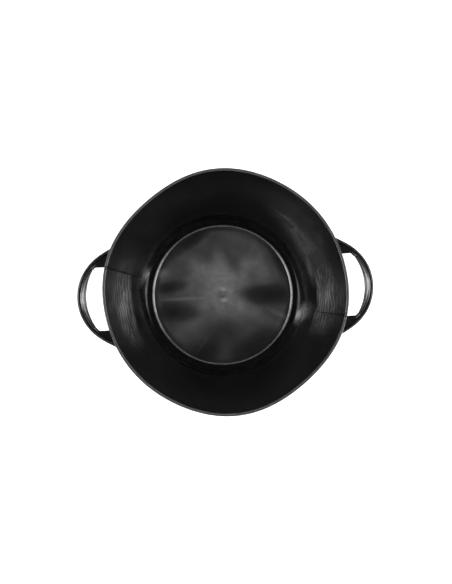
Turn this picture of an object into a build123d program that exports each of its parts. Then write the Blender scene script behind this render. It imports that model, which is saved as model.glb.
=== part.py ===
from build123d import *
from math import cos, pi, radians, sin
import os

# Two-handled round pan, moulded in one soft black plastic and divided here along its features.
# Millimetres. +Z is up, the origin is the middle of the sole, and +X runs through the right handle.
# Half a turn about Z carries the pan onto itself, so the left handle is the right one turned, not mirrored.

# Overall
RIM_RADIUS = 200.0  # outside of the rim bead, on average
PAN_HEIGHT = 160.0

# Foot ring: a channel round the floor
SOLE_THICKNESS = 3.2
SOLE_RADIUS = 140.5
GROOVE_INNER_RADIUS = 127.2
GROOVE_OUTER_RADIUS = 137.2
GROOVE_BOTTOM_RADIUS = 132.0
INNER_LEG_THICKNESS = 3.2
INNER_LEG_TOP = 8.0
LEDGE_HEIGHT = 10.0  # the wall stands on this ledge
LEDGE_RADIUS = 144.2
SOLE_ROUND = 1.5

# Floor
FLOOR_RADIUS = 122.6
FLOOR_THICKNESS = 3.2
FLOOR_DOME = 2.4
FLOOR_LIP_WIDTH = 1.8  # thin edge of the floor, under the bead
FLOOR_LIP_THICKNESS = 1.6
FLOOR_BEAD_TOP = 13.2
FLOOR_BEAD_ROUND = 2.2
GATE_RADIUS = 6.5
GATE_HEIGHT = 1.0
GATE_SEAT = 0.6
GATE_DIMPLE_RADIUS = 2.6

# Wall
WALL_THICKNESS = 3.2
WALL_TOP = 156.0
WALL_TOP_RADIUS = 198.6
WALL_FOOT_RADIUS = GROOVE_OUTER_RADIUS + WALL_THICKNESS
WALL_BOW = 0.14  # 0 is a straight cone; more is steeper at the foot and flatter at the rim
WALL_SECTIONS = 5
RIM_WAVES = ((2, 0.7, 49.0), (4, 1.8, -6.0), (6, 1.0, -23.0))  # waves per turn, height, angle of a crest

# Crease: a step down the wall beside each handle, past which the wall stands out
CREASE_ANGLE = -14.0  # from the handle's middle
CREASE_STEP_FOOT = 3.0
CREASE_STEP_RIM = 0.5
CREASE_FADE = 32.0  # degrees over which the step dies away
CREASE_LAP = 1.6  # degrees from the step inside to the step outside
POINTS_PER_HALF = 24

# Rim bead
BEAD_WIDTH = 4.6
BEAD_SKIRT_BOTTOM = 151.5
BEAD_ROUND = 1.9

# Handles, each in a plane that rises outwards from the wall
HANDLE_ROOT_RADIUS = 197.0
HANDLE_ROOT_HEIGHT = 147.0
HANDLE_RISE = 10.0
HANDLE_BLANK_LENGTH = 65.0  # from the outermost point into the wall, which then trims it
STRAP_REACH = 45.6  # from the root to the outermost point
STRAP_RADIUS = 80.5
STRAP_THICKNESS = 2.6
STRAP_HEIGHT = 12.0
WEB_THICKNESS = 3.4
WINDOW_REACH = 30.9
WINDOW_RADIUS = 89.3
WINDOW_FRONT = 49.6  # from the handle's middle to either end of the hand opening
WINDOW_BACK = 53.2
WINDOW_ROUND = 4.0
GRIP_OUTER_REACH = 40.6
GRIP_OUTER_RADIUS = 76.0
GRIP_HALF_LENGTH = 55.3
GRIP_BELOW = 5.0
GRIP_ABOVE = 8.0
GRIP_ROUND = 1.2
LUG_START = 44.0  # from the handle's middle, where the strap's web ends and the lug begins


def wall_share(height):
    """0 at the wall's foot, 1 at its top."""
    return (height - LEDGE_HEIGHT) / (WALL_TOP - LEDGE_HEIGHT)


def wall_radius(height):
    """Outside radius of the wall at a height, without waves or crease."""
    share = wall_share(height)
    bowed = share - WALL_BOW * share * (1 - share)
    return WALL_FOOT_RADIUS + (WALL_TOP_RADIUS - WALL_FOOT_RADIUS) * bowed


def rim_wave(angle):
    """How far the rim stands out from a circle at an angle in degrees."""
    return sum(high * cos(radians(count * (angle - crest))) for count, high, crest in RIM_WAVES)


def crease_step(past_crease, height):
    """How far the wall stands out under a handle, by degrees past the crease."""
    if past_crease >= CREASE_FADE:
        return 0.0
    deepest = CREASE_STEP_FOOT + (CREASE_STEP_RIM - CREASE_STEP_FOOT) * wall_share(height)
    return deepest * (1 + cos(pi * past_crease / CREASE_FADE)) / 2


def wall_point(crease, past_crease, height, inset):
    angle = crease + past_crease
    radius = wall_radius(height) - inset + rim_wave(angle) * wall_share(height)
    radius += crease_step(past_crease, height)
    return (radius * cos(radians(angle)), radius * sin(radians(angle)))


def wall_outline(height, inset, first_crease):
    """The wall's outline at a height: two curved halves, joined by two small steps at the creases."""
    halves = []
    for crease in (first_crease, first_crease + 180):
        turns = [180 * i / POINTS_PER_HALF for i in range(POINTS_PER_HALF + 1)]
        halves.append([wall_point(crease, turn, height, inset) for turn in turns])
    Spline(*halves[0])
    Line(halves[0][-1], halves[1][0])
    Spline(*halves[1])
    Line(halves[1][-1], halves[0][0])


def rim_outline(radius):
    """The rim's closed outline, a slightly wavy circle."""
    angles = [180 * i / POINTS_PER_HALF for i in range(2 * POINTS_PER_HALF)]
    around = [(radius + rim_wave(angle), radians(angle)) for angle in angles]
    Spline(*[(r * cos(turn), r * sin(turn)) for r, turn in around], periodic=True)


# Foot ring
with BuildPart() as foot_ring:
    with BuildSketch(Plane.XZ) as foot_section:
        with BuildLine():
            Polyline(
                (GROOVE_INNER_RADIUS - INNER_LEG_THICKNESS, 0),
                (SOLE_RADIUS, 0),
                (LEDGE_RADIUS, LEDGE_HEIGHT),
                (GROOVE_OUTER_RADIUS, LEDGE_HEIGHT),
                (GROOVE_BOTTOM_RADIUS, SOLE_THICKNESS),
                (GROOVE_INNER_RADIUS, INNER_LEG_TOP),
                (GROOVE_INNER_RADIUS - INNER_LEG_THICKNESS, INNER_LEG_TOP),
                close=True,
            )
        make_face()
        fillet(foot_section.vertices().group_by(Axis.Y)[0], SOLE_ROUND)
    revolve(axis=Axis.Z)
foot_ring.part.label = "foot_ring"

# Bead round the floor's edge, on the channel's inner leg and over the floor's thin edge
with BuildPart() as floor_bead:
    with BuildSketch(Plane.XZ) as floor_bead_section:
        with BuildLine():
            Polyline(
                (FLOOR_RADIUS + FLOOR_LIP_WIDTH, INNER_LEG_TOP),
                (GROOVE_INNER_RADIUS, INNER_LEG_TOP),
                (GROOVE_INNER_RADIUS, FLOOR_BEAD_TOP),
                (FLOOR_RADIUS, FLOOR_BEAD_TOP),
                (FLOOR_RADIUS, INNER_LEG_TOP + FLOOR_LIP_THICKNESS),
                (FLOOR_RADIUS + FLOOR_LIP_WIDTH, INNER_LEG_TOP + FLOOR_LIP_THICKNESS),
                close=True,
            )
        make_face()
        fillet(floor_bead_section.vertices().group_by(Axis.Y)[-1], FLOOR_BEAD_ROUND)
    revolve(axis=Axis.Z)
floor_bead.part.label = "floor_bead"

# Floor: a slightly domed panel, raised off the ground
floor_top = INNER_LEG_TOP + FLOOR_THICKNESS
with BuildPart() as floor_panel:
    with BuildSketch(Plane.XZ):
        with BuildLine():
            ThreePointArc(
                (-FLOOR_RADIUS, floor_top),
                (0, floor_top + FLOOR_DOME),
                (FLOOR_RADIUS, floor_top),
            )
            Line((FLOOR_RADIUS, floor_top), (FLOOR_RADIUS, INNER_LEG_TOP))
            ThreePointArc(
                (FLOOR_RADIUS, INNER_LEG_TOP),
                (0, INNER_LEG_TOP + FLOOR_DOME),
                (-FLOOR_RADIUS, INNER_LEG_TOP),
            )
            Line((-FLOOR_RADIUS, INNER_LEG_TOP), (-FLOOR_RADIUS, floor_top))
        make_face()
        split(bisect_by=Plane.YZ)
    revolve(axis=Axis.Z)
    with BuildSketch(Plane.XY.offset(INNER_LEG_TOP)):
        Circle(FLOOR_RADIUS + FLOOR_LIP_WIDTH)
        Circle(FLOOR_RADIUS - FLOOR_LIP_WIDTH, mode=Mode.SUBTRACT)
    extrude(amount=FLOOR_LIP_THICKNESS)
    with BuildSketch(Plane.XY.offset(floor_top + FLOOR_DOME - GATE_SEAT)):
        Circle(GATE_RADIUS)
    extrude(amount=GATE_HEIGHT, mode=Mode.SUBTRACT)
floor_panel.part.label = "floor_panel"

# Gate mark: the nub that the moulding's gate left in the middle of the floor
with BuildPart() as gate_mark:
    with BuildSketch(Plane.XY.offset(floor_top + FLOOR_DOME - GATE_SEAT)):
        Circle(GATE_RADIUS)
    extrude(amount=GATE_SEAT + GATE_HEIGHT)
    gate_edges = gate_mark.edges().group_by(Axis.Z)[-1]
    fillet(gate_edges, GATE_HEIGHT * 0.8)
    with BuildSketch(Plane.XY.offset(floor_top + FLOOR_DOME + GATE_HEIGHT)):
        Circle(GATE_DIMPLE_RADIUS)
    extrude(amount=-GATE_HEIGHT, mode=Mode.SUBTRACT)
gate_mark.part.label = "gate_mark"

# Wall: its outside as a filled block, which also trims the bead and the handles
section_heights = [
    LEDGE_HEIGHT + (WALL_TOP - LEDGE_HEIGHT) * i / (WALL_SECTIONS - 1) for i in range(WALL_SECTIONS)
]
with BuildPart() as wall_block:
    for height in section_heights:
        with BuildSketch(Plane.XY.offset(height)):
            with BuildLine():
                wall_outline(height, 0, CREASE_ANGLE - CREASE_LAP)
            make_face()
    loft()

with BuildPart() as wall_hollow:
    for height in section_heights:
        with BuildSketch(Plane.XY.offset(height)):
            with BuildLine():
                wall_outline(height, WALL_THICKNESS, CREASE_ANGLE)
            make_face()
    loft()

with BuildPart() as wall:
    add(wall_block.part)
    add(wall_hollow.part, mode=Mode.SUBTRACT)
wall.part.label = "wall"

# Rim bead: caps the wall, with a skirt down its outside
with BuildPart() as rim_bead:
    with BuildSketch(Plane.XY.offset(BEAD_SKIRT_BOTTOM)):
        with BuildLine():
            rim_outline(RIM_RADIUS)
        make_face()
    extrude(amount=PAN_HEIGHT - BEAD_SKIRT_BOTTOM)
    with BuildSketch(Plane.XY.offset(BEAD_SKIRT_BOTTOM)):
        with BuildLine():
            rim_outline(RIM_RADIUS - BEAD_WIDTH)
        make_face()
    extrude(amount=PAN_HEIGHT - BEAD_SKIRT_BOTTOM, mode=Mode.SUBTRACT)
    bead_top_edges = rim_bead.edges().group_by(Axis.Z)[-1]
    fillet(bead_top_edges, BEAD_ROUND)
    add(wall_block.part, mode=Mode.SUBTRACT)
rim_bead.part.label = "rim_bead"

# Handle plane: its X runs outwards along the handle's middle line, and its Z stands on the handle
handle_plane = Plane(
    origin=(HANDLE_ROOT_RADIUS, 0, HANDLE_ROOT_HEIGHT),
    x_dir=(cos(radians(HANDLE_RISE)), 0, sin(radians(HANDLE_RISE))),
    z_dir=(-sin(radians(HANDLE_RISE)), 0, cos(radians(HANDLE_RISE))),
)


def disc(reach, radius, mode=Mode.ADD):
    """A disc whose outermost point is at a reach from the handle's root."""
    with Locations((reach - radius, 0)):
        Circle(radius, mode=mode)


def within(front, back):
    """Trims the sketch to two distances from the handle's middle."""
    with Locations((STRAP_REACH - HANDLE_BLANK_LENGTH / 2, (back - front) / 2)):
        Rectangle(HANDLE_BLANK_LENGTH, front + back, mode=Mode.INTERSECT)


# Grip: the swollen bar that the hand closes on
with BuildPart() as right_grip:
    with BuildSketch(handle_plane.offset(-GRIP_BELOW)):
        disc(GRIP_OUTER_REACH, GRIP_OUTER_RADIUS)
        disc(WINDOW_REACH, WINDOW_RADIUS, Mode.SUBTRACT)
        within(GRIP_HALF_LENGTH, GRIP_HALF_LENGTH)
    extrude(amount=GRIP_BELOW + GRIP_ABOVE)
    fillet(right_grip.edges(), GRIP_ROUND)
right_grip.part.label = "right_grip"

# Web: the flat plate inside the strap, with the hand opening cut out of it
with BuildPart() as right_web:
    with BuildSketch(handle_plane.offset(-WEB_THICKNESS / 2)):
        disc(STRAP_REACH - STRAP_THICKNESS, STRAP_RADIUS - STRAP_THICKNESS)
        within(STRAP_RADIUS, STRAP_RADIUS)
        with BuildSketch(mode=Mode.SUBTRACT) as window:
            disc(WINDOW_REACH, WINDOW_RADIUS)
            within(WINDOW_FRONT, WINDOW_BACK)
            fillet(window.vertices(), WINDOW_ROUND)
    extrude(amount=WEB_THICKNESS)
    add(right_grip.part, mode=Mode.SUBTRACT)
    add(wall_block.part, mode=Mode.SUBTRACT)

# Lugs: the web's two ends, between the strap, the grip and the wall
with BuildPart() as right_lug_front:
    add(right_web.part)
    split(bisect_by=Plane.XZ.offset(LUG_START), keep=Keep.TOP)
right_lug_front.part.label = "right_lug_front"

with BuildPart() as right_lug_back:
    add(right_web.part)
    split(bisect_by=Plane.XZ.offset(-LUG_START), keep=Keep.BOTTOM)
right_lug_back.part.label = "right_lug_back"

# Strap: the thin outer lip, from wall to wall, with the middle of the web inside it
with BuildPart() as right_strap:
    with BuildSketch(handle_plane.offset(-STRAP_HEIGHT / 2)):
        disc(STRAP_REACH, STRAP_RADIUS)
        disc(STRAP_REACH - STRAP_THICKNESS, STRAP_RADIUS - STRAP_THICKNESS, Mode.SUBTRACT)
        within(STRAP_RADIUS, STRAP_RADIUS)
    extrude(amount=STRAP_HEIGHT)
    add(wall_block.part, mode=Mode.SUBTRACT)
    add(rim_bead.part, mode=Mode.SUBTRACT)
    add(right_web.part)
    add([right_lug_front.part, right_lug_back.part], mode=Mode.SUBTRACT)
right_strap.part.label = "right_strap"

# The left handle is the right one after half a turn, which swaps its front and its back
with BuildPart() as left_grip:
    add(right_grip.part.rotate(Axis.Z, 180))
left_grip.part.label = "left_grip"

with BuildPart() as left_strap:
    add(right_strap.part.rotate(Axis.Z, 180))
left_strap.part.label = "left_strap"

with BuildPart() as left_lug_front:
    add(right_lug_back.part.rotate(Axis.Z, 180))
left_lug_front.part.label = "left_lug_front"

with BuildPart() as left_lug_back:
    add(right_lug_front.part.rotate(Axis.Z, 180))
left_lug_back.part.label = "left_lug_back"

os.makedirs("parts", exist_ok=True)
pieces = [
    foot_ring,
    floor_bead,
    floor_panel,
    gate_mark,
    wall,
    rim_bead,
    right_grip,
    right_strap,
    right_lug_front,
    right_lug_back,
    left_grip,
    left_strap,
    left_lug_front,
    left_lug_back,
]
for piece in pieces:
    export_step(piece.part, f"parts/{piece.part.label}.step")
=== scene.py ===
"""A black two-handled moulded pan on a white ground, seen from almost straight above."""

import math

import bpy
import bmesh
import numpy as np
from mathutils import Matrix, Vector


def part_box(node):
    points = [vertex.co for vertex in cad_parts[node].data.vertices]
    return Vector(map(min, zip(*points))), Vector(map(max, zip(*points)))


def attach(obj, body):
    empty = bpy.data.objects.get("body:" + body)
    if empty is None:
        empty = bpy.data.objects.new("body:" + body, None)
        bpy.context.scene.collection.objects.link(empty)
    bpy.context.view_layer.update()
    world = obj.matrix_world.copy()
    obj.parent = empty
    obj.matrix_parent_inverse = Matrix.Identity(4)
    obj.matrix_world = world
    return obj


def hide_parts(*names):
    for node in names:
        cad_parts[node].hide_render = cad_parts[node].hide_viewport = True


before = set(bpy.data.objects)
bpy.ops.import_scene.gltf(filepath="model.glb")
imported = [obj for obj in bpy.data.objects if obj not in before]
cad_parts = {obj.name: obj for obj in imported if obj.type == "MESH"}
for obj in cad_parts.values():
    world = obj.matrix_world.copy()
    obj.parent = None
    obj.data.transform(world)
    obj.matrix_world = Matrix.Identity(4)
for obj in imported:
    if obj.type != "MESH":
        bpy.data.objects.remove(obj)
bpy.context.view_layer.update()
MM = 0.001  # shapes are worked out in millimetres and written in metres


def low_corner(node):
    """A node's lowest x, y and z, in millimetres."""
    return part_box(node)[0] / MM


def high_corner(node):
    """A node's highest x, y and z, in millimetres."""
    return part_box(node)[1] / MM


# Sizes that the frame gives, in millimetres
PAN_HEIGHT = high_corner("rim_bead").z
SKIRT_BOTTOM = low_corner("rim_bead").z
WALL_TOP = high_corner("wall").z
LEDGE_HEIGHT = low_corner("wall").z
LEDGE_RADIUS = high_corner("foot_ring").x
GROOVE_INNER_RADIUS = high_corner("floor_bead").x
FLOOR_UNDERSIDE = low_corner("floor_panel").z
FLOOR_TOP = high_corner("floor_panel").z
FLOOR_BEAD_TOP = high_corner("floor_bead").z
FLOOR_LIP_RADIUS = high_corner("floor_panel").x
GATE_TOP = high_corner("gate_mark").z
GATE_RADIUS = high_corner("gate_mark").x

# Sizes of the moulding that no box shows
RIM_RADIUS = 200.0
GROOVE_OUTER_RADIUS = 137.2
GROOVE_BOTTOM_RADIUS = 132.0
SOLE_RADIUS = 140.5
SOLE_THICKNESS = 3.2
WALL_THICKNESS = 3.2
WALL_TOP_RADIUS = 198.6
WALL_FOOT_RADIUS = GROOVE_OUTER_RADIUS + WALL_THICKNESS
WALL_BOW = 0.14
RIM_WAVES = ((2, 0.7, 49.0), (4, 1.8, -6.0), (6, 1.0, -23.0))  # waves per turn, height, angle of a crest
CREASE_ANGLE = -14.0  # of the right crease inside, in degrees
CREASE_LAP = 1.6  # degrees by which the crease outside comes before the one inside
CREASE_STEP_FOOT = 3.0
CREASE_STEP_RIM = 0.5
CREASE_FADE = 32.0  # degrees past the crease over which its step fades out
SHOULDER_RISE = 0.5  # over which the pocket at a crease's foot goes outwards
FLOOR_DOME = 2.4
EDGE_DROP, EDGE_WIDTH = 0.45, 7.0  # how the floor rolls off beside its bead
FLOOR_LAP = 1.8  # how far the floor's bead laps over the floor
BEAD_WIDTH = 4.6
BEAD_OVERHANG = 0.5
SKIRT_THICKNESS = 2.8

# Relief of the wall's inside
FOLD_HEIGHT = 68.0
FOLD_DEPTH = 2.0
FLOW_TOP = 148.0  # the flow lines lie between the fold and this height
FLOW_FADE = 8.0
FLOW_DEPTH = 0.07
CREASE_LINE_DEPTH = 2.2
POCKET_DEPTH = 3.6
POCKET_TALL = 13.0

# Handles, in a plane that rises outwards: u runs outwards from the root, v along the grip, n upwards
HANDLE_ROOT_RADIUS = 197.0
HANDLE_ROOT_HEIGHT = 147.0
HANDLE_RISE = math.radians(10.0)
HANDLE_SINK = 1.2  # how far its ends reach into the wall
STRAP_REACH = 45.6
STRAP_RADIUS = 80.5
STRAP_THICKNESS = 2.6
STRAP_HEIGHT = 12.0
WEB_THICKNESS = 3.4
WINDOW_REACH = 30.9
WINDOW_RADIUS = 89.3
WINDOW_FRONT = 49.6  # from the handle's middle to either end of the hand opening
WINDOW_BACK = 53.2
GRIP_REACH = 40.6
GRIP_RADIUS = 76.0
GRIP_HALF_LENGTH = 55.3
GRIP_ABOVE = 8.0
GRIP_BELOW = 5.0
GRIP_RAY_START = -45.0  # the grip's sections lie along rays from here
GRIP_RAY_LENGTH = 80.0  # about as far as its ends are from there
GRIP_CENTRE = GRIP_REACH - GRIP_RADIUS
WINDOW_CENTRE = WINDOW_REACH - WINDOW_RADIUS
STRAP_CENTRE = STRAP_REACH - STRAP_RADIUS
STRAP_SWEEP = math.radians(79.0)  # to either side of the handle's middle
STRAP_FLARE, STRAP_FLARE_LENGTH = 6.0, 11.0  # outwards, where it meets the rim
GROOVE_HALF_LENGTH = 52.0
LUG_START = 44.0
LUG_CORNER = 5.0


# ---------------------------------------------------------------- shapes of the pan


def share(height):
    """0 at the wall's foot, 1 at its top."""
    return (height - LEDGE_HEIGHT) / (WALL_TOP - LEDGE_HEIGHT)


def rim_wave(angle):
    """How far the rim stands out from a circle, by angle in degrees."""
    return sum(tall * np.cos(np.radians(count * (angle - crest))) for count, tall, crest in RIM_WAVES)


def past_crease(angle, crease):
    """Degrees from a crease, from 0 to 180: the two creases are half a turn apart."""
    return np.mod(angle - crease, 180.0)


def nearest_crease(angle):
    """Degrees past the nearest crease inside, from -90 to 90."""
    return np.mod(past_crease(angle, CREASE_ANGLE) + 90.0, 180.0) - 90.0


def crease_step(angle, height, crease):
    """How far the wall stands out under a handle. The step itself is half a degree wide."""
    past = past_crease(angle, crease)
    depth = CREASE_STEP_FOOT + (CREASE_STEP_RIM - CREASE_STEP_FOOT) * share(height)
    fading = np.where(past < CREASE_FADE, (1 + np.cos(np.pi * past / CREASE_FADE)) / 2, 0.0)
    return depth * fading


def wall_radius(angle, height, crease):
    """Outside radius of the wall."""
    part = share(height)
    bowed = part - WALL_BOW * part * (1 - part)
    plain = WALL_FOOT_RADIUS + (WALL_TOP_RADIUS - WALL_FOOT_RADIUS) * bowed
    return plain + rim_wave(angle) * np.clip(part, 0, None) + crease_step(angle, height, crease)


def bump(distance, width):
    """A smooth hump: 1 at no distance, almost 0 at twice the width."""
    return np.exp(-((distance / width) ** 2))


def ramp(value, start, end):
    """0 up to the start, 1 from the end on, and straight between."""
    return np.clip((value - start) / (end - start), 0, 1)


def smooth(value):
    """Eases a value from 0 to 1 in and out."""
    value = np.clip(value, 0, 1)
    return value * value * (3 - 2 * value)


def soft_sag(angle, height):
    """The slight unevenness of a soft moulded wall, in millimetres."""
    turn = np.radians(angle)
    part = share(height)
    rolling = 0.55 * np.sin(5 * turn + 1.0 + 1.4 * part) + 0.35 * np.sin(9 * turn + 2.2 - 2.0 * part)
    fine = 0.16 * np.sin(17 * turn + 4.0 * part) + 0.10 * np.sin(29 * turn - 7.0 * part + 0.6)
    return (rolling + fine) * np.sin(np.pi * np.clip(part, 0, 1)) ** 1.2


# ---------------------------------------------------------------- mesh tools


def round_corners(points, radii, steps=6):
    """A closed outline whose corners are rounded, each by its own radius."""
    outline = []
    count = len(points)
    for i, radius in enumerate(radii):
        corner = np.array(points[i], float)
        before = np.array(points[i - 1], float) - corner
        after = np.array(points[(i + 1) % count], float) - corner
        if radius <= 0:
            outline.append(corner)
            continue
        before_length, after_length = np.linalg.norm(before), np.linalg.norm(after)
        before, after = before / before_length, after / after_length
        half = math.acos(np.clip(np.dot(before, after), -1, 1)) / 2
        reach = min(radius / math.tan(half), 0.49 * before_length, 0.49 * after_length)
        radius = reach * math.tan(half)
        middle = corner + (before + after) / np.linalg.norm(before + after) * radius / math.sin(half)
        start, end = corner + before * reach - middle, corner + after * reach - middle
        sweep = math.acos(np.clip(np.dot(start, end) / radius**2, -1, 1))
        for k in range(steps + 1):
            t = k / steps
            mixed = (math.sin((1 - t) * sweep) * start + math.sin(t * sweep) * end) / math.sin(sweep)
            outline.append(middle + mixed)
    return np.array(outline)


def finish_mesh(name, points, faces, material, nodes, sharp):
    """Makes the piece, turns its faces outwards, and puts it in the frame for its CAD nodes."""
    mesh = bpy.data.meshes.new(name)
    mesh.from_pydata((np.asarray(points) * MM).tolist(), [], faces)
    work = bmesh.new()
    work.from_mesh(mesh)
    bmesh.ops.recalc_face_normals(work, faces=work.faces)
    work.to_mesh(mesh)
    work.free()
    mesh.shade_smooth()
    mesh.set_sharp_from_angle(angle=math.radians(sharp))
    mesh.materials.append(material)
    piece = bpy.data.objects.new(name, mesh)
    bpy.context.scene.collection.objects.link(piece)
    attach(piece, "root")
    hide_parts(*nodes)
    return piece


def loop_faces(columns, rows, close_columns=True, offset=0):
    """Quads between closed loops of points: rows points in each of a number of columns."""
    faces = []
    last = columns if close_columns else columns - 1
    for c in range(last):
        here, following = offset + c * rows, offset + (c + 1) % columns * rows
        for r in range(rows):
            up = (r + 1) % rows
            faces.append((here + r, following + r, following + up, here + up))
    return faces


def tube_faces(columns, rows, offset=0):
    """Faces of an open tube of closed loops, with a cap at each end."""
    faces = loop_faces(columns, rows, close_columns=False, offset=offset)
    faces.append(tuple(offset + r for r in range(rows)))
    faces.append(tuple(offset + (columns - 1) * rows + r for r in reversed(range(rows))))
    return faces


def ring_points(angles, radius, height):
    """Points of a ring, from radius and height by column and row."""
    turn = np.radians(angles)[:, None]
    return np.stack([radius * np.cos(turn), radius * np.sin(turn), height + 0 * turn], axis=-1)


def ring_piece(name, angles, radius, height, material, node, sharp=40.0):
    """A closed ring of the pan, whose sections are loops of radius and height."""
    points = ring_points(angles, radius, height).reshape(-1, 3)
    faces = loop_faces(len(angles), radius.shape[1])
    return finish_mesh(name, points, faces, material, [node], sharp)


def even_angles(step):
    """Angles round the pan, in degrees."""
    return np.arange(0.0, 360.0, step)


def creased_angles(step, fine, reach):
    """Angles round the pan, closer together within a reach of the creases inside and outside."""
    creases = [crease + side for side in (0, 180) for crease in (CREASE_ANGLE, CREASE_ANGLE - CREASE_LAP)]
    angles = list(even_angles(step))
    count = int(reach / fine)
    for crease in creases:
        angles += [crease + k * fine for k in range(-count, count + 1)]
    return np.unique(np.round(np.mod(angles, 360.0), 4))


def lathe_piece(name, angles, radius, height, material, node, sharp=40.0):
    """A turned piece of the pan. Its path starts and ends on the axis, at the first and last heights."""
    columns, rows = radius.shape[0], radius.shape[1] - 2
    around = ring_points(angles, radius[:, 1:-1], height[:, 1:-1]).reshape(-1, 3)
    poles = [(0, 0, height[0, 0]), (0, 0, height[0, -1])]
    points = np.concatenate([around, poles])
    first, last = len(around), len(around) + 1
    faces = []
    for c in range(columns):
        here, following = c * rows, (c + 1) % columns * rows
        for r in range(rows - 1):
            faces.append((here + r, following + r, following + r + 1, here + r + 1))
        faces.append((first, following, here))
        faces.append((last, here + rows - 1, following + rows - 1))
    return finish_mesh(name, points, faces, material, [node], sharp)


# ---------------------------------------------------------------- pan pieces


def handle_sector(angle, width):
    """1 at a handle's middle, fading out round the wall."""
    off = np.mod(angle + 90.0, 180.0) - 90.0
    return bump(off, width)


def inner_relief(angle, height):
    """What the inside of the wall has besides its step: fold, flow lines, crease line and foot pocket."""
    past = nearest_crease(angle)
    fold = np.minimum(ramp(height, LEDGE_HEIGHT, FOLD_HEIGHT), ramp(height, WALL_TOP, FOLD_HEIGHT))
    fold = -FOLD_DEPTH * fold * handle_sector(angle - 4.0, 24.0)
    turn = np.radians(angle)
    wander = 5.0 * np.sin(6.0 * turn + 0.4) + 2.4 * np.sin(19.0 * turn + 1.1) + 1.2 * np.sin(43.0 * turn)
    lines = np.sin((height + wander) * 0.92) + 0.6 * np.sin((height - 0.7 * wander) * 1.63 + 1.0)
    band = ramp(height, FOLD_HEIGHT, FOLD_HEIGHT + FLOW_FADE) * ramp(height, FLOW_TOP, FLOW_TOP - FLOW_FADE)
    flow = FLOW_DEPTH * lines * band * handle_sector(angle - 1.0, 19.0)
    line = CREASE_LINE_DEPTH * bump(past + 0.1, 0.26) * ramp(height, 66.0, 96.0)
    pocket = POCKET_DEPTH * bump(past + 4.8, 3.6) * bump(height - LEDGE_HEIGHT, POCKET_TALL)
    pocket = pocket * ramp(height, LEDGE_HEIGHT, LEDGE_HEIGHT + SHOULDER_RISE)
    return fold + flow + line + pocket + soft_sag(angle, height) * ramp(share(height), 0, 1 / 6)


def outer_relief(angle, height):
    """What the outside of the wall has besides its step: the back of the foot pocket, and a soft sag."""
    pocket = 2.6 * bump(nearest_crease(angle) + 5.0, 6.0) * np.exp(-np.abs(height - 20.0) / 14.0)
    return pocket * (height > LEDGE_HEIGHT + 0.1) + 0.6 * soft_sag(angle, height)


def make_wall(inner_material, outer_material):
    angles = creased_angles(0.6, 0.12, 1.5)
    turn = angles[:, None]
    above_shoulder = LEDGE_HEIGHT + SHOULDER_RISE
    rising = above_shoulder + (WALL_TOP - above_shoulder) * np.linspace(0, 1, 95) ** 1.1
    inner_height = np.concatenate([[LEDGE_HEIGHT], rising])[None, :]
    outer_height = np.linspace(WALL_TOP, LEDGE_HEIGHT, 36)[None, :]
    inner_radius = wall_radius(turn, inner_height, CREASE_ANGLE) - WALL_THICKNESS
    inner_radius = inner_radius + inner_relief(turn, inner_height)
    outer_radius = wall_radius(turn, outer_height, CREASE_ANGLE - CREASE_LAP)
    outer_radius = outer_radius + outer_relief(turn, outer_height)
    radius = np.concatenate([inner_radius, outer_radius], axis=1)
    height = np.broadcast_to(np.concatenate([inner_height, outer_height], axis=1), radius.shape)
    piece = ring_piece("pan_wall", angles, radius, height, inner_material, "wall", 28.0)
    piece.data.materials.append(outer_material)
    for face in piece.data.polygons:
        faces_out = face.normal.x * face.center.x + face.normal.y * face.center.y > 0
        face.material_index = int(faces_out)
    return piece


def make_section_ring(name, outline, angles, material, node, shift=0.0, lift=0.0):
    """A ring of one section. shift moves it outwards and lift upwards, by angle."""
    still = np.zeros((len(angles), 1))
    radius = outline[None, :, 0] + np.reshape(shift, (-1, 1)) + still
    height = outline[None, :, 1] + np.reshape(lift, (-1, 1)) + still
    return ring_piece(name, angles, radius, height, material, node)


def make_rim_bead(material):
    angles = creased_angles(0.6, 0.2, 1.6)
    inner = RIM_RADIUS - BEAD_WIDTH - BEAD_OVERHANG
    skirt = RIM_RADIUS - SKIRT_THICKNESS
    seat = WALL_TOP - 1.4
    corners = [
        (inner, seat),
        (inner, PAN_HEIGHT),
        (RIM_RADIUS, PAN_HEIGHT),
        (RIM_RADIUS, SKIRT_BOTTOM),
        (skirt, SKIRT_BOTTOM),
        (skirt, seat),
    ]
    outline = round_corners(corners, [0.5, 2.1, 2.3, 0.8, 0, 0], 8)
    turn = np.radians(angles)
    lift = 0.25 * np.sin(2 * turn + 0.6) + 0.15 * np.sin(5 * turn + 2.0) - 0.3
    lift = lift - 1.6 * bump(nearest_crease(angles), 0.55)
    return make_section_ring("pan_rim_bead", outline, angles, material, "rim_bead", rim_wave(angles), lift)


def make_foot_ring(material):
    inner = GROOVE_INNER_RADIUS - SOLE_THICKNESS
    corners = [
        (inner, 0.0),
        (SOLE_RADIUS, 0.0),
        (LEDGE_RADIUS, LEDGE_HEIGHT),
        (GROOVE_OUTER_RADIUS, LEDGE_HEIGHT),
        (GROOVE_BOTTOM_RADIUS, SOLE_THICKNESS),
        (GROOVE_INNER_RADIUS, FLOOR_UNDERSIDE),
        (inner, FLOOR_UNDERSIDE),
    ]
    outline = round_corners(corners, [1.0, 1.6, 1.4, 0.12, 0.1, 0, 0])
    return make_section_ring("pan_foot_ring", outline, even_angles(1.0), material, "foot_ring")


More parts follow.
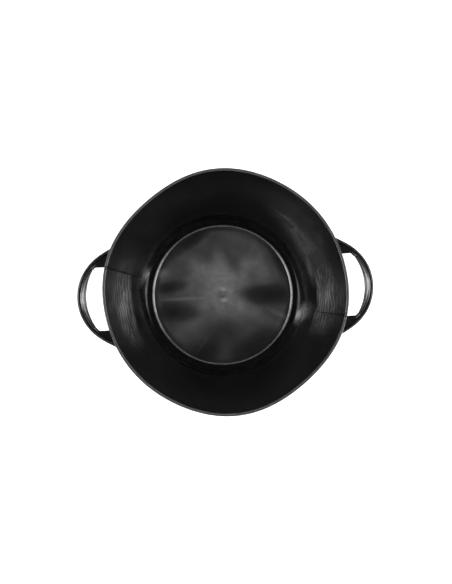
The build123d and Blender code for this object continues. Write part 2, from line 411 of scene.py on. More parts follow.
def make_floor_bead(material):
    lip_height = FLOOR_UNDERSIDE + 1.6
    corners = [
        (FLOOR_LIP_RADIUS, FLOOR_UNDERSIDE),
        (GROOVE_INNER_RADIUS, FLOOR_UNDERSIDE),
        (GROOVE_INNER_RADIUS, FLOOR_BEAD_TOP),
        (FLOOR_LIP_RADIUS - FLOOR_LAP, FLOOR_BEAD_TOP),
        (FLOOR_LIP_RADIUS - FLOOR_LAP, lip_height),
        (FLOOR_LIP_RADIUS, lip_height),
    ]
    outline = round_corners(corners, [0, 0.3, 2.2, 2.2, 0, 0], 8)
    return make_section_ring("pan_floor_bead", outline, even_angles(0.75), material, "floor_bead")


# Dents, swells and tilted facets of the soft floor: middle across and along, half sizes, all in millimetres,
# turn in degrees, height in millimetres, and slope along the turned axis
FLOOR_RELIEF = (
    (80, 1, 40, 17, -4, 0.0, -0.05),
    (-96, 15, 27, 9, 6, 0.0, 0.05),
    (-90, -21, 29, 10, -8, 0.0, 0.05),
    (-88, -3, 34, 4, 0, 0.2, 0.0),
    (-46, 46, 50, 26, 30, 0.5, 0.02),
    (60, -40, 48, 22, -28, 0.5, -0.02),
    (44, 74, 26, 36, -14, 0.45, 0.0),
    (0, -80, 16, 28, 0, 0.4, 0.0),
    (-58, -56, 36, 20, 42, 0.4, 0.0),
)


def floor_relief(x, y):
    """Unevenness of the moulded floor: a moat round the gate mark, waves, and the list above."""
    from_middle = np.hypot(x, y)
    total = -0.2 * bump(from_middle - GATE_RADIUS - 2.5, 2.0)
    total = total + 0.10 * np.sin(0.115 * x + 0.05 * y + 0.7) * np.sin(0.10 * y - 0.04 * x + 1.9)
    total = total + 0.02 * np.sin(0.21 * x - 0.08 * y) * np.sin(0.17 * y + 0.06 * x + 0.5)
    for across, along, long, wide, turn, tall, slope in FLOOR_RELIEF:
        c, s = math.cos(math.radians(turn)), math.sin(math.radians(turn))
        a = ((x - across) * c + (y - along) * s) / long
        b = (-(x - across) * s + (y - along) * c) / wide
        total = total + (tall + slope * long * a) * np.exp(-(a**2 + b**2))
    return total * smooth((FLOOR_LIP_RADIUS - FLOOR_LAP - from_middle) / 14.0)


def make_floor(material):
    angles = even_angles(1.0)
    outer = FLOOR_LIP_RADIUS - 1.5
    top = np.concatenate([[0.0], np.linspace(1.5, outer, 84)])
    bottom = np.concatenate([np.linspace(outer, 3.0, 24), [0.0]])
    turn = np.radians(angles)[:, None]

    def level(radius):
        rolled = smooth((radius - (outer - EDGE_WIDTH)) / EDGE_WIDTH)
        return FLOOR_TOP - FLOOR_DOME * (radius / outer) ** 2 - EDGE_DROP * rolled

    relief = floor_relief(top[None, :] * np.cos(turn), top[None, :] * np.sin(turn))
    relief[:, 0] = relief[:, 1].mean()
    under = 0 * turn + (level(bottom) - SOLE_THICKNESS)[None, :]
    height = np.concatenate([level(top)[None, :] + relief, under], axis=1)
    radius = np.broadcast_to(np.concatenate([top, bottom])[None, :], height.shape)
    return lathe_piece("pan_floor", angles, radius, height, material, "floor_panel")


def make_gate_mark(material):
    """A round nub with a dimple. Its path is radius and height, from the axis outwards and back."""
    angles = even_angles(5.0)
    seat = FLOOR_TOP - 0.6
    steps = [
        (0.0, GATE_TOP - 0.9),
        (0.8, GATE_TOP - 0.95),
        (2.0, GATE_TOP - 1.15),
        (3.0, GATE_TOP - 1.0),
        (3.7, GATE_TOP - 0.65),
        (4.3, GATE_TOP - 0.5),
        (4.9, GATE_TOP - 0.55),
        (5.5, GATE_TOP - 0.75),
        (6.1, FLOOR_TOP - 0.05),
        (GATE_RADIUS, FLOOR_TOP - 0.1),
        (GATE_RADIUS, seat),
        (0.0, seat),
    ]
    path = np.broadcast_to(np.array(steps), (len(angles), len(steps), 2))
    return lathe_piece("pan_gate_mark", angles, path[..., 0], path[..., 1], material, "gate_mark", 80.0)


# ---------------------------------------------------------------- handles


def handle_points(local, side):
    """From the handle's u, v, n to the frame, trimmed just inside the wall. The left is the right turned."""
    u, v, n = np.moveaxis(np.asarray(local, float), -1, 0)
    x = HANDLE_ROOT_RADIUS + u * math.cos(HANDLE_RISE) - n * math.sin(HANDLE_RISE)
    z = HANDLE_ROOT_HEIGHT + u * math.sin(HANDLE_RISE) + n * math.cos(HANDLE_RISE)
    angle = np.degrees(np.arctan2(v, x))
    inside_wall = wall_radius(angle, z, CREASE_ANGLE - CREASE_LAP) - HANDLE_SINK
    grow = np.maximum(1.0, inside_wall / np.hypot(x, v))
    return np.stack([side * x * grow, side * v * grow, z], axis=-1)


def ray_length(start, direction, centre, radius):
    """How far a ray from (start, 0) goes to a circle about (centre, 0)."""
    off = start - centre
    return -off * np.cos(direction) + np.sqrt(radius**2 - (off * np.sin(direction)) ** 2)


def swept_bar(start, directions, near, far, below, above, radii, sag=0.1, roll=0.0):
    """Closed sections of a bar between two distances along rays from (start, 0). Its top sags to its
    edges, and rolls outwards towards the bar's ends, by a slope."""
    loops = []
    for direction, a, b, down, up in zip(directions, near, far, below, above):
        drop = roll * (direction / directions[-1]) ** 2 * (b - a)
        crown = [(a, -down), (a, up - sag), ((a + b) / 2, up - drop / 2), (b, up - sag - drop), (b, -down)]
        outline = round_corners(crown, radii(b - a))
        u = start + outline[:, 0] * math.cos(direction)
        v = outline[:, 0] * math.sin(direction)
        loops.append(np.stack([u, v, outline[:, 1]], axis=-1))
    return np.array(loops)


def make_grip(side_name, side, material):
    """The bar: a rounded crown, widest and tallest in the middle, that sinks into the lugs at its ends."""
    end = math.asin(GRIP_HALF_LENGTH / GRIP_RAY_LENGTH)
    directions = np.linspace(-end, end, 121)
    near = ray_length(GRIP_RAY_START, directions, WINDOW_CENTRE, WINDOW_RADIUS)
    far = ray_length(GRIP_RAY_START, directions, GRIP_CENTRE, GRIP_RADIUS)
    far = np.maximum(far, near + 2.6)
    along = np.abs(directions) / end
    sinking = smooth((along - 0.80) / 0.20)
    sunk = WEB_THICKNESS / 2 + 0.2
    above = GRIP_ABOVE * (1 - 0.10 * along**2) * (1 - sinking) + sunk * sinking
    below = GRIP_BELOW * (1 - sinking) + sunk * sinking

    def radii(width):
        shoulder = min(1.7, 0.4 * width)
        return [0.3 * width, shoulder, 90.0, shoulder, 0.3 * width]

    crown = swept_bar(GRIP_RAY_START, directions, near, far, below, above, radii, sag=0.5, roll=0.30)
    points = handle_points(crown, side).reshape(-1, 3)
    faces = tube_faces(crown.shape[0], crown.shape[1])
    name = f"{side_name}_handle_grip"
    return finish_mesh(name, points, faces, material, [f"{side_name}_grip"], 50.0)


def make_strap(side_name, side, material, groove_material):
    """The thin outer lip from wall to wall, and the floor of the groove behind the grip."""
    directions = np.linspace(-STRAP_SWEEP, STRAP_SWEEP, 161)
    strap_inside = STRAP_RADIUS - STRAP_THICKNESS
    flare = np.exp(-(STRAP_SWEEP - np.abs(directions)) * STRAP_RADIUS / STRAP_FLARE_LENGTH)
    far = STRAP_RADIUS + STRAP_FLARE * flare
    near = strap_inside - 1.0 * flare
    half = np.full_like(far, STRAP_HEIGHT / 2)
    lip_radii, groove_radii = [1.2, 0.8, 2.0, 0.8, 1.2], [0.3] * 5
    lip = swept_bar(STRAP_CENTRE, directions, near, far, half, half, lambda _: lip_radii, sag=0.8)
    web_end = math.asin(GROOVE_HALF_LENGTH / STRAP_RADIUS)
    directions = np.linspace(-web_end, web_end, 61)
    near = ray_length(STRAP_CENTRE, directions, GRIP_CENTRE, GRIP_RADIUS) - 1.2
    far = np.full_like(near, strap_inside + 0.6)
    half = np.full_like(near, WEB_THICKNESS / 2)
    web = swept_bar(STRAP_CENTRE, directions, near, far, half, half, lambda _: groove_radii)
    lip_points = handle_points(lip, side).reshape(-1, 3)
    web_points = handle_points(web, side).reshape(-1, 3)
    faces = tube_faces(lip.shape[0], lip.shape[1])
    faces += tube_faces(web.shape[0], web.shape[1], offset=len(lip_points))
    points = np.concatenate([lip_points, web_points])
    name = f"{side_name}_handle_strap"
    piece = finish_mesh(name, points, faces, material, [f"{side_name}_strap"], 50.0)
    piece.data.materials.append(groove_material)
    for face in piece.data.polygons:
        face.material_index = int(min(face.vertices) >= len(lip_points))
    return piece


def wall_reach(v):
    """u at which the handle's plane meets the wall's outside, at v along the handle."""
    u = 0.0
    for _ in range(4):
        height = HANDLE_ROOT_HEIGHT + u * math.sin(HANDLE_RISE)
        x = HANDLE_ROOT_RADIUS + u * math.cos(HANDLE_RISE)
        radius = float(wall_radius(math.degrees(math.atan2(v, x)), height, CREASE_ANGLE - CREASE_LAP))
        u = (math.sqrt(radius**2 - v**2) - HANDLE_ROOT_RADIUS) / math.cos(HANDLE_RISE)
    return u


def lug_outline(end):
    """The flat web at one end of the handle: end is 1 at the back of a right handle and -1 at its front.
    It runs along the strap's inside, the wall, the hand opening's rounded end and under the grip."""
    in_strap = STRAP_RADIUS - STRAP_THICKNESS + 0.5
    window_end = WINDOW_BACK if end > 0 else WINDOW_FRONT
    outline = []
    for v in np.linspace(LUG_START, 73.0, 14):
        outline.append((STRAP_CENTRE + math.sqrt(in_strap**2 - v**2), v))
    for v in np.linspace(75.0, window_end - LUG_CORNER, 12):
        outline.append((wall_reach(end * v) - 1.0, v))
    foot = wall_reach(end * window_end)
    for turn in np.radians(np.linspace(180.0, 90.0, 8)):
        u = foot + 1.0 + LUG_CORNER * (1 + math.cos(turn))
        outline.append((u, window_end - LUG_CORNER * (1 - math.sin(turn))))
    for turn in np.radians(np.linspace(90.0, 20.0, 7)):
        u = WINDOW_CENTRE + math.sqrt(WINDOW_RADIUS**2 - window_end**2) - 3.2 + 4.0 * math.cos(turn)
        outline.append((u, window_end - 4.0 + 4.0 * math.sin(turn)))
    outline.append((WINDOW_CENTRE + math.sqrt(WINDOW_RADIUS**2 - LUG_START**2) + 1.5, LUG_START))
    return [(u, end * v) for u, v in outline]


def make_lug(side_name, side, end, material):
    outline = lug_outline(end)
    count = len(outline)
    local = [(u, v, level) for level in (-WEB_THICKNESS / 2, WEB_THICKNESS / 2) for u, v in outline]
    points = handle_points(local, side)
    faces = [tuple(reversed(range(count))), tuple(range(count, 2 * count))]
    faces += [(i, (i + 1) % count, count + (i + 1) % count, count + i) for i in range(count)]
    place = "back" if side * end > 0 else "front"
    name = f"{side_name}_handle_lug_{place}"
    return finish_mesh(name, points, faces, material, [f"{side_name}_lug_{place}"], 30.0)


# ---------------------------------------------------------------- materials

# The paler grey serves for scuffs and worn spots, and also for painted highlights and sheen.
CLEAN, SCUFF_AND_SHEEN_GREY = 0.003, 0.34  # base colours, as grey levels
DEEP = 90.0  # half size of a patch through the surface that it lies on

# Flow lines of the wall beside the left and right handle, lit there as patches of painted light, and painted
# highlights elsewhere on the wall: angle, height, half sizes round the wall and up it, strength
LEFT_FLOW_LINES_PAINTED_LIT = (182.0, 110.0, 58.0, 60.0, 0.38)
RIGHT_FLOW_LINES_PAINTED_LIT = (-6.0, 104.0, 46.0, 58.0, 0.36)
WALL_PAINTED_HIGHLIGHTS = (
    (33.0, 72.0, 34.0, 26.0, 0.055),
    (40.0, 112.0, 70.0, 44.0, 0.03),
    (14.0, 66.0, 26.0, 9.0, 0.10),
    (-17.5, 22.0, 15.0, 20.0, 0.42),
    (-18.0, 18.0, 8.0, 9.0, 0.75),
    (-13.5, 30.0, 12.0, 6.0, 0.35),
    (-14.0, 40.0, 14.0, 22.0, 0.10),
    (163.0, 22.0, 13.0, 18.0, 0.26),
    (163.0, 19.0, 8.0, 9.0, 0.42),
    (168.0, 30.0, 9.0, 6.0, 0.20),
    (47.0, 86.0, 30.0, 13.0, 0.05),
    (24.0, 96.0, 26.0, 30.0, 0.03),
)

# Painted highlights of the floor, among them two small spots beside the gate mark, and painted shade where a
# strength is negative: middle across and along, half sizes, turn, strength
FLOOR_PAINTED_LIGHT = (
    (6, 18, 70, 56, 0, 0.10),
    (0, 34, 16, 34, 8, 0.22),
    (28, 38, 44, 14, 38, 0.15),
    (14, -18, 30, 22, -30, 0.16),
    (-30, 44, 48, 15, -40, 0.19),
    (38, 100, 34, 20, -20, 0.095),
    (70, 46, 13, 34, 12, 0.15),
    (44, -30, 54, 12, -30, 0.15),
    (-2, -98, 14, 24, 0, 0.06),
    (-6, -22, 20, 8, -40, 0.06),
    (0, 10.5, 5, 4, 0, 0.75),
    (1, -9.5, 5, 4, 0, 0.75),
    (-70, -62, 28, 14, 28, 0.085),
    (-38, -84, 22, 2.6, 52, 0.05),
    (-74, -4, 34, 3, 0, 0.17),
    (-104, 44, 12, 8, 20, 0.24),
    (100, -40, 20, 5, -30, 0.13),
    (86, -4, 40, 15, -3, -0.20),
    (30, 60, 12, 20, 30, -0.03),
)

# Duller patches of the floor, written as its painted light is: how much each adds to the roughness
FLOOR_ROUGHNESS = 0.33
FLOOR_DULL = (
    (84, -4, 42, 15, -3, 0.5),
    (112, 2, 14, 22, 0, 0.16),
    (-94, 18, 24, 9, 8, 0.5),
    (-90, -27, 34, 15, -4, 0.5),
    (-56, 100, 54, 11, 34, 0.46),
    (108, 54, 10, 46, 26, 0.46),
    (-42, -104, 32, 20, 12, 0.46),
    (54, -98, 50, 22, 26, 0.46),
    (-8, -70, 30, 24, 4, 0.20),
    (18, 62, 12, 26, 30, 0.10),
    (14, 18, 90, 74, 0, -0.04),
    (0.5, -3, 2.6, 2, 0, 0.4),
)

# Painted highlights on the floor's bead, the ledge and the grips' middles, and painted shade on the rim
# beside the handles: middle, half sizes, strength
RIM_PAINTED_SHADE = (((198, 0, 160), (30, 60, 20), -0.06), ((-198, 0, 160), (30, 60, 20), -0.06))
BEAD_PAINTED_HIGHLIGHTS = (((126, 6, 12), (60, 62, 60), 1.3), ((-126, 14, 12), (60, 62, 60), 1.3))
LEDGE_PAINTED_HIGHLIGHTS = (((141, 0, 10), (12, 50, 3), 0.45), ((-141, 0, 10), (12, 50, 3), 0.45))
GRIP_PAINTED_HIGHLIGHTS = (
    ((236, 0, 158), (26, 30, 30), 0.12),
    ((-236, 0, 158), (26, 30, 30), 0.12),
    ((236, 0, 158), (20, 13, 30), 0.45),
    ((-236, 0, 158), (20, 13, 30), 0.45),
)


class Plastic:
    """Node material of one black plastic. Places are in millimetres in the frame of the part."""

    def __init__(self, name):
        self.material = bpy.data.materials.new(name)
        self.material.use_nodes = True
        self.tree = self.material.node_tree
        self.shader = self.tree.nodes["Principled BSDF"]
        coordinates = self.tree.nodes.new("ShaderNodeTexCoord")
        self.place = self.vector("SCALE", coordinates.outputs["Object"], 1 / MM)

    def put(self, socket, value):
        """Links an output to a socket, or sets the socket to a number."""
        if isinstance(value, bpy.types.NodeSocket):
            self.tree.links.new(value, socket)
        else:
            socket.default_value = value

    def vector(self, operation, first, scale=None):
        node = self.tree.nodes.new("ShaderNodeVectorMath")
        node.operation = operation
        self.put(node.inputs[0], first)
        if scale is not None:
            self.put(node.inputs["Scale"], scale)
        return node.outputs["Value" if operation == "LENGTH" else "Vector"]

    def combine(self, operation, first, second):
        node = self.tree.nodes.new("ShaderNodeMath")
        node.operation = operation
        self.put(node.inputs[0], first)
        self.put(node.inputs[1], second)
        return node.outputs[0]

    def times(self, first, second):
        return self.combine("MULTIPLY", first, second)

    def step(self, value, start, end, low=0.0, high=1.0):
        """Smooth change from low to high while the value goes from start to end."""
        node = self.tree.nodes.new("ShaderNodeMapRange")
        node.interpolation_type = "SMOOTHSTEP"
        for name, number in (("From Min", start), ("From Max", end), ("To Min", low), ("To Max", high)):
            node.inputs[name].default_value = number
        self.put(node.inputs["Value"], value)
        return node.outputs["Result"]

    def local(self, middle, half_sizes, turn=0.0, tilt=(0.0, 0.0)):
        """Place relative to a middle, tilted about X and Y, turned about Z and divided by half sizes."""
        node = self.tree.nodes.new("ShaderNodeMapping")
        node.vector_type = "TEXTURE"
        self.put(node.inputs["Vector"], self.place)
        node.inputs["Location"].default_value = middle
        node.inputs["Rotation"].default_value = [math.radians(angle) for angle in (*tilt, turn)]
        node.inputs["Scale"].default_value = half_sizes
        return node.outputs["Vector"]

    def beyond(self, angle):
        """1 past a vertical plane through the axis, at an angle in degrees, and 0 before it."""
        node = self.tree.nodes.new("ShaderNodeVectorMath")
        node.operation = "DOT_PRODUCT"
        self.put(node.inputs[0], self.place)
        node.inputs[1].default_value = (-math.sin(math.radians(angle)), math.cos(math.radians(angle)), 0)
        return self.step(node.outputs["Value"], -0.6, 0.6)

    def height(self):
        node = self.tree.nodes.new("ShaderNodeSeparateXYZ")
        self.put(node.inputs[0], self.place)
        return node.outputs["Z"]

    def noise(self, size, detail, stretch=(1.0, 1.0, 1.0), distortion=0.0, turn=0.0, tilt=(0.0, 0.0)):
        """Cloudy noise with features of about a size in millimetres, stretched along the axes."""
        node = self.tree.nodes.new("ShaderNodeTexNoise")
        sizes = tuple(size * ratio for ratio in stretch)
        self.put(node.inputs["Vector"], self.local((0, 0, 0), sizes, turn, tilt))
        node.inputs["Scale"].default_value = 1.0
        node.inputs["Detail"].default_value = detail
        node.inputs["Distortion"].default_value = distortion
        return node.outputs["Fac"]

    def patch(self, middle, half_sizes, turn=0.0):
        """A soft round patch: 1 in the middle, 0 outside 1.7 half sizes."""
        return self.step(self.vector("LENGTH", self.local(middle, half_sizes, turn)), 1.7, 0.0)

    def wall_patches(self, rows):
        """Soft patches on the wall with their strengths, from rows that are written as WALL_PAINTED_HIGHLIGHTS is."""
        return [
            (self.patch(on_wall(angle, height), (DEEP, around, tall), angle), strength)
            for angle, height, around, tall, strength in rows
        ]

    def level_patches(self, rows):
        """Soft patches on the floor with their strengths, from rows that are written as FLOOR_PAINTED_LIGHT is."""
        return [
            (self.patch((across, along, 0), (long, wide, DEEP), turn), strength)
            for across, along, long, wide, turn, strength in rows
        ]

    def sum(self, parts):
        """Adds up patches, each multiplied by its strength."""
        total = None
        for part, strength in parts:
            node = self.tree.nodes.new("ShaderNodeMath")
            node.operation = "MULTIPLY_ADD"
            self.put(node.inputs[0], part)
            self.put(node.inputs[1], strength)
            self.put(node.inputs[2], 0.0 if total is None else total)
            total = node.outputs[0]
        return total

    def colour(self, amount, scuff_and_sheen_grey=SCUFF_AND_SHEEN_GREY):
        """Base colour between the clean grey and the paler grey of scuffs, worn spots and painted
        highlights, by an amount from 0 to 1.
        """
        node = self.tree.nodes.new("ShaderNodeMix")
        node.data_type = "RGBA"
        self.put(node.inputs["Factor"], amount)
        node.inputs["A"].default_value = (CLEAN, CLEAN, CLEAN * 1.03, 1)
        node.inputs["B"].default_value = (scuff_and_sheen_grey, scuff_and_sheen_grey, scuff_and_sheen_grey * 1.02, 1)
        self.put(self.shader.inputs["Base Color"], node.outputs["Result"])

    def roughness(self, value, low, high):
        """Roughness from low to high by a value from 0.3 to 0.7, as noise gives. The denoised picture
        gets flecks where a range crosses 0.27, so each stays to one side of it."""
        self.put(self.shader.inputs["Roughness"], self.step(value, 0.3, 0.7, low, high))

    def relief(self, value, depth, strength):
        """Fine relief by a value from 0 to 1; depth is in millimetres."""
        node = self.tree.nodes.new("ShaderNodeBump")
        node.inputs["Strength"].default_value = strength
        node.inputs["Distance"].default_value = depth * MM
        self.put(node.inputs["Height"], value)
        self.put(self.shader.inputs["Normal"], node.outputs["Normal"])

    def scratches(self, size, turns, stretch, tilts=((0.0, 0.0),) * 3):
        """Fine scratches: 1 on a scratch, 0 elsewhere. Each turn and tilt gives one set of them."""
        lines = []
        for turn, tilt in zip(turns, tilts):
            thin = self.noise(size, 2.0, stretch, 0.3, turn, tilt)
            lines.append((self.step(thin, 0.66, 0.74), 1.0))
        return self.combine("MINIMUM", self.sum(lines), 1.0)

    def flat_scratches(self):
        """Scratches for a level face."""
        return self.scratches(40.0, (12.0, 71.0, 128.0), (1.0, 0.018, 1.0))

    def wall_scratches(self):
        """Scratches for an upright face, most of them slanting a little."""
        return self.scratches(30.0, (0.0, 40.0, 110.0), (1.0, 1.0, 0.016), ((14, 8), (-24, 12), (8, -30)))


def on_wall(angle, height):
    """A point on the inside of the wall, by its angle in degrees and its height."""
    radius = float(wall_radius(angle, height, CREASE_ANGLE)) - WALL_THICKNESS
    return (radius * math.cos(math.radians(angle)), radius * math.sin(math.radians(angle)), height)


def inner_wall_plastic():
    """The wall's inside: flow lines over the fold beside each handle, lit as painted light, and painted
    highlights elsewhere.
    """
    skin = Plastic("inner_wall_plastic")
    height = skin.height()
    grain = skin.tree.nodes.new("ShaderNodeTexWave")
    grain.bands_direction = "Z"
    skin.put(grain.inputs["Vector"], skin.place)
    for name, number in (("Scale", 0.040), ("Distortion", 16.0), ("Detail", 3.0), ("Detail Scale", 0.4)):
        grain.inputs[name].default_value = number
    lines = skin.step(grain.outputs["Fac"], 0.1, 0.9, 0.42, 1.0)
    blotches = skin.step(skin.noise(26.0, 3.0, (1.0, 1.0, 0.8)), 0.30, 0.66, 0.4, 1.0)
    above_fold = skin.times(skin.step(height, 70.0, 77.0), skin.step(height, 136.0, 106.0, 0.3, 1.0))
    beyond = skin.beyond(CREASE_ANGLE)
    past_left = skin.combine("ADD", skin.times(beyond, -0.55), 1.0)
    past_right = skin.combine("ADD", skin.times(beyond, 0.12), 0.88)
    (left, left_strength), (right, right_strength) = skin.wall_patches((LEFT_FLOW_LINES_PAINTED_LIT, RIGHT_FLOW_LINES_PAINTED_LIT))
    beside = [(skin.times(left, past_left), left_strength), (skin.times(right, past_right), right_strength)]
    # Flow lines, lightened only where they stand in painted light beside the handles.
    streaks_painted_lit = skin.times(skin.times(lines, blotches), above_fold)
    streaks_painted_lit = skin.times(streaks_painted_lit, skin.sum(beside))
    # Painted highlights on the wall, with a faint lightening towards the foot.
    soft = skin.sum([*skin.wall_patches(WALL_PAINTED_HIGHLIGHTS), (skin.step(height, 55.0, 14.0), 0.014)])
    clouds = skin.step(skin.noise(40.0, 3.0, (1.0, 1.0, 0.6), 1.0), 0.3, 0.7, 0.5, 1.45)
    skin.colour(skin.sum([(skin.times(soft, clouds), 1.0), (streaks_painted_lit, 1.0)]))
    skin.roughness(skin.noise(28.0, 2.0), 0.20, 0.265)
    skin.relief(skin.noise(12.0, 1.0), 0.08, 0.5)
    return skin.material


def outer_wall_plastic():
    """The wall's outside: glossy, a little scuffed towards its foot."""
    skin = Plastic("outer_wall_plastic")
    scuffs = skin.step(skin.noise(38.0, 4.0, (1.0, 1.0, 0.5)), 0.52, 0.75)
    low_down = skin.step(skin.height(), 60.0, 0.0, 0.25, 1.0)
    skin.colour(skin.sum([(skin.times(scuffs, low_down), 0.10), (skin.wall_scratches(), 0.03)]))
    skin.roughness(skin.noise(20.0, 3.0), 0.17, 0.265)
    skin.relief(skin.noise(3.0, 1.0), 0.08, 0.35)
    return skin.material


def floor_plastic():
    """The floor: painted highlights that lie in clouds, painted shade in a few patches, faint scratches, and
    duller patches.
    """
    skin = Plastic("floor_plastic")
    # Painted highlights of the floor, with fewer of them where a strength is negative, as painted shade.
    painted_floor_light = skin.combine("MAXIMUM", skin.sum(skin.level_patches(FLOOR_PAINTED_LIGHT)), 0.0)
    clouds = skin.step(skin.noise(36.0, 3.0, (1.0, 1.0, 1.0), 1.0), 0.30, 0.70, 0.6, 1.3)
    skin.colour(skin.sum([(skin.times(painted_floor_light, clouds), 1.0), (skin.flat_scratches(), 0.02)]))
    grain = skin.step(skin.noise(26.0, 2.0), 0.3, 0.7)
    dull = skin.sum([*skin.level_patches(FLOOR_DULL), (grain, 0.06), (1.0, FLOOR_ROUGHNESS)])
    skin.put(skin.shader.inputs["Roughness"], dull)
    return skin.material


def edge_plastic(name, wear_and_sheen, low, high, top=None, sides=(), scuff_and_sheen_grey=SCUFF_AND_SHEEN_GREY):
    """Rims, beads and lips, between a low and a high roughness. Wear and painted sheen lighten them:
    everywhere, or just below a top where one is given. The sides are patches with more or less of it:
    painted highlights, and painted shade where the strength is negative."""
    skin = Plastic(name)
    rubbed_and_sheen = skin.step(skin.noise(9.0, 3.0), 0.36, 0.66, 0.6, 1.0)
    patches = [(skin.patch(middle, half_sizes), strength) for middle, half_sizes, strength in sides]
    rubbed_and_sheen = skin.times(rubbed_and_sheen, skin.sum([(1.0, wear_and_sheen), *patches]))
    if top is not None:
        rubbed_and_sheen = skin.times(rubbed_and_sheen, skin.step(skin.height(), top - 2.5, top - 0.4))
    skin.colour(rubbed_and_sheen, scuff_and_sheen_grey)
    skin.roughness(skin.noise(16.0, 1.0), low, high)
    skin.relief(skin.noise(8.0, 1.0), 0.03, 0.4)
    return skin.material


def web_plastic():
    """The lugs and the groove behind the grip: a matt, grained surface that hardly reflects."""
    skin = Plastic("web_plastic")
    skin.shader.inputs["Specular IOR Level"].default_value = 0.2
    scuffs = skin.step(skin.noise(10.0, 3.0), 0.55, 0.78)
    skin.colour(skin.times(scuffs, 0.03))
    skin.roughness(skin.noise(8.0, 3.0), 0.66, 0.82)
    skin.relief(skin.noise(0.9, 2.0), 0.10, 0.5)
    return skin.material


# ---------------------------------------------------------------- the pan

inner_wall = inner_wall_plastic()
outer_wall = outer_wall_plastic()
# The rim's top is lightened by worn spots and painted sheen, and less beside the handles, as painted shade.
rim_plastic = edge_plastic("rim_plastic", 0.07, 0.17, 0.26, PAN_HEIGHT, RIM_PAINTED_SHADE)
# The bead's top gets a painted highlight all round in a paler grey, strongest on its left and right sides.
bead_plastic = edge_plastic("bead_plastic", 0.10, 0.2, 0.265, FLOOR_BEAD_TOP, BEAD_PAINTED_HIGHLIGHTS, 0.55)
# The ledge gets painted highlights on its left and right sides only.
foot_plastic = edge_plastic("foot_plastic", 0.0, 0.29, 0.36, LEDGE_HEIGHT, LEDGE_PAINTED_HIGHLIGHTS)
# A painted highlight lies on the middle of each grip.
grip_plastic = edge_plastic("grip_plastic", 0.01, 0.10, 0.18, None, GRIP_PAINTED_HIGHLIGHTS)
grip_plastic.node_tree.nodes["Principled BSDF"].inputs["IOR"].default_value = 1.56
strap_plastic = edge_plastic("strap_plastic", 0.04, 0.2, 0.265)
floor_skin = floor_plastic()
web_skin = web_plastic()

make_wall(inner_wall, outer_wall)
make_rim_bead(rim_plastic)
make_foot_ring(foot_plastic)
make_floor_bead(bead_plastic)
make_floor(floor_skin)
make_gate_mark(floor_skin)
for side_name, side in (("right", 1), ("left", -1)):
    make_grip(side_name, side, grip_plastic)
    make_strap(side_name, side, strap_plastic, web_skin)
    for end in (1, -1):
        make_lug(side_name, side, end, web_skin)


# ---------------------------------------------------------------- stage, light and camera

ROLL = math.radians(-3.0)  # the right handle points a little above level in the picture
PICTURE_RIGHT = Vector((math.cos(ROLL), math.sin(ROLL), 0))
PICTURE_UP = Vector((-math.sin(ROLL), math.cos(ROLL), 0))
MOUTH = Vector((0, 0, PAN_HEIGHT * MM))
EYE = (-0.060, -0.055, MOUTH.z + 1.33)
AIM = (-0.0009, -0.0010, MOUTH.z)
LENS, SENSOR_WIDTH = 50.6, 36.0
STUDIO_FLOOR_RADIUS = 3.2
STUDIO_COVE_RADIUS = 0.9
STUDIO_WALL_TOP = 3.6


def in_picture(right, up, height):
    """A point from its distances right and up in the picture, and its height above the ground."""
    return PICTURE_RIGHT * right + PICTURE_UP * up + Vector((0, 0, height))


def make_camera():
    """The photograph's camera, almost straight above, upright in the picture."""
    data = bpy.data.cameras.new("camera")
    data.lens = LENS
    data.sensor_width = SENSOR_WIDTH
    camera = bpy.data.objects.new("camera", data)
    bpy.context.scene.collection.objects.link(camera)
    eye = in_picture(*EYE)
    back = (eye - in_picture(*AIM)).normalized()
    right = PICTURE_UP.cross(back).normalized()
    up = back.cross(right)
    camera.matrix_world = Matrix.Translation(eye) @ Matrix((right, up, back)).transposed().to_4x4()
    bpy.context.scene.camera = camera


def soft_box(name, place, wide, tall, radiance):
    """A rectangular lamp, aimed at the mouth, that gives the same radiance whatever its size."""
    data = bpy.data.lights.new(name, "AREA")
    data.shape = "RECTANGLE"
    data.size, data.size_y = wide, tall
    data.energy = radiance * math.pi * wide * tall
    lamp = bpy.data.objects.new(name, data)
    lamp.location = place
    lamp.rotation_euler = (place - MOUTH).to_track_quat("Z", "Y").to_euler()
    bpy.context.scene.collection.objects.link(lamp)


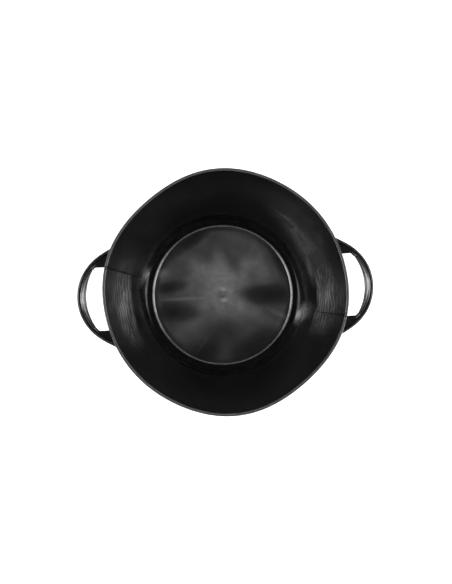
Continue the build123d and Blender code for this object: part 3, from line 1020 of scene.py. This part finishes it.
def make_backdrop():
    """A round white studio: floor, cove and wall, turned about the part."""
    path = [(1.0, 0.0), (2.6, 0.0)]
    for turn in np.radians(np.linspace(0.0, 90.0, 10)):
        out, rise = STUDIO_COVE_RADIUS * math.sin(turn), STUDIO_COVE_RADIUS * (1 - math.cos(turn))
        path.append((STUDIO_FLOOR_RADIUS + out, rise))
    path.append((STUDIO_FLOOR_RADIUS + STUDIO_COVE_RADIUS, STUDIO_WALL_TOP))
    columns, rows = 64, len(path)
    points = []
    for turn in np.linspace(0.0, 2 * math.pi, columns, endpoint=False):
        points += [(r * math.cos(turn), r * math.sin(turn), z) for r, z in path]
    centre = len(points)
    points.append((0.0, 0.0, 0.0))
    faces = []
    for c in range(columns):
        here, following = c * rows, (c + 1) % columns * rows
        faces.append((centre, here, following))
        for r in range(rows - 1):
            faces.append((here + r, here + r + 1, following + r + 1, following + r))
    mesh = bpy.data.meshes.new("backdrop")
    mesh.from_pydata(points, [], faces)
    mesh.shade_smooth()
    material = bpy.data.materials.new("backdrop_white")
    material.use_nodes = True
    shader = material.node_tree.nodes["Principled BSDF"]
    shader.inputs["Base Color"].default_value = (0.85, 0.85, 0.85, 1)
    shader.inputs["Roughness"].default_value = 0.9
    shader.inputs["Emission Color"].default_value = (1, 1, 1, 1)
    shader.inputs["Emission Strength"].default_value = 0.6
    mesh.materials.append(material)
    backdrop = bpy.data.objects.new("backdrop", mesh)
    bpy.context.scene.collection.objects.link(backdrop)


def make_world():
    world = bpy.data.worlds.new("studio")
    world.use_nodes = True
    world.node_tree.nodes["Background"].inputs["Color"].default_value = (1, 1, 1, 1)
    world.node_tree.nodes["Background"].inputs["Strength"].default_value = 0.2
    bpy.context.scene.world = world


make_camera()
make_backdrop()
make_world()
soft_box("top_light", in_picture(0.09, 0.11, 2.4), 0.46, 0.46, 8.6)
soft_box("left_light", in_picture(-1.6, 0.0, 0.9), 1.0, 0.7, 12.0)
soft_box("right_light", in_picture(1.6, 0.0, 0.9), 1.0, 0.7, 12.0)
bpy.context.scene.view_settings.view_transform = "Standard"
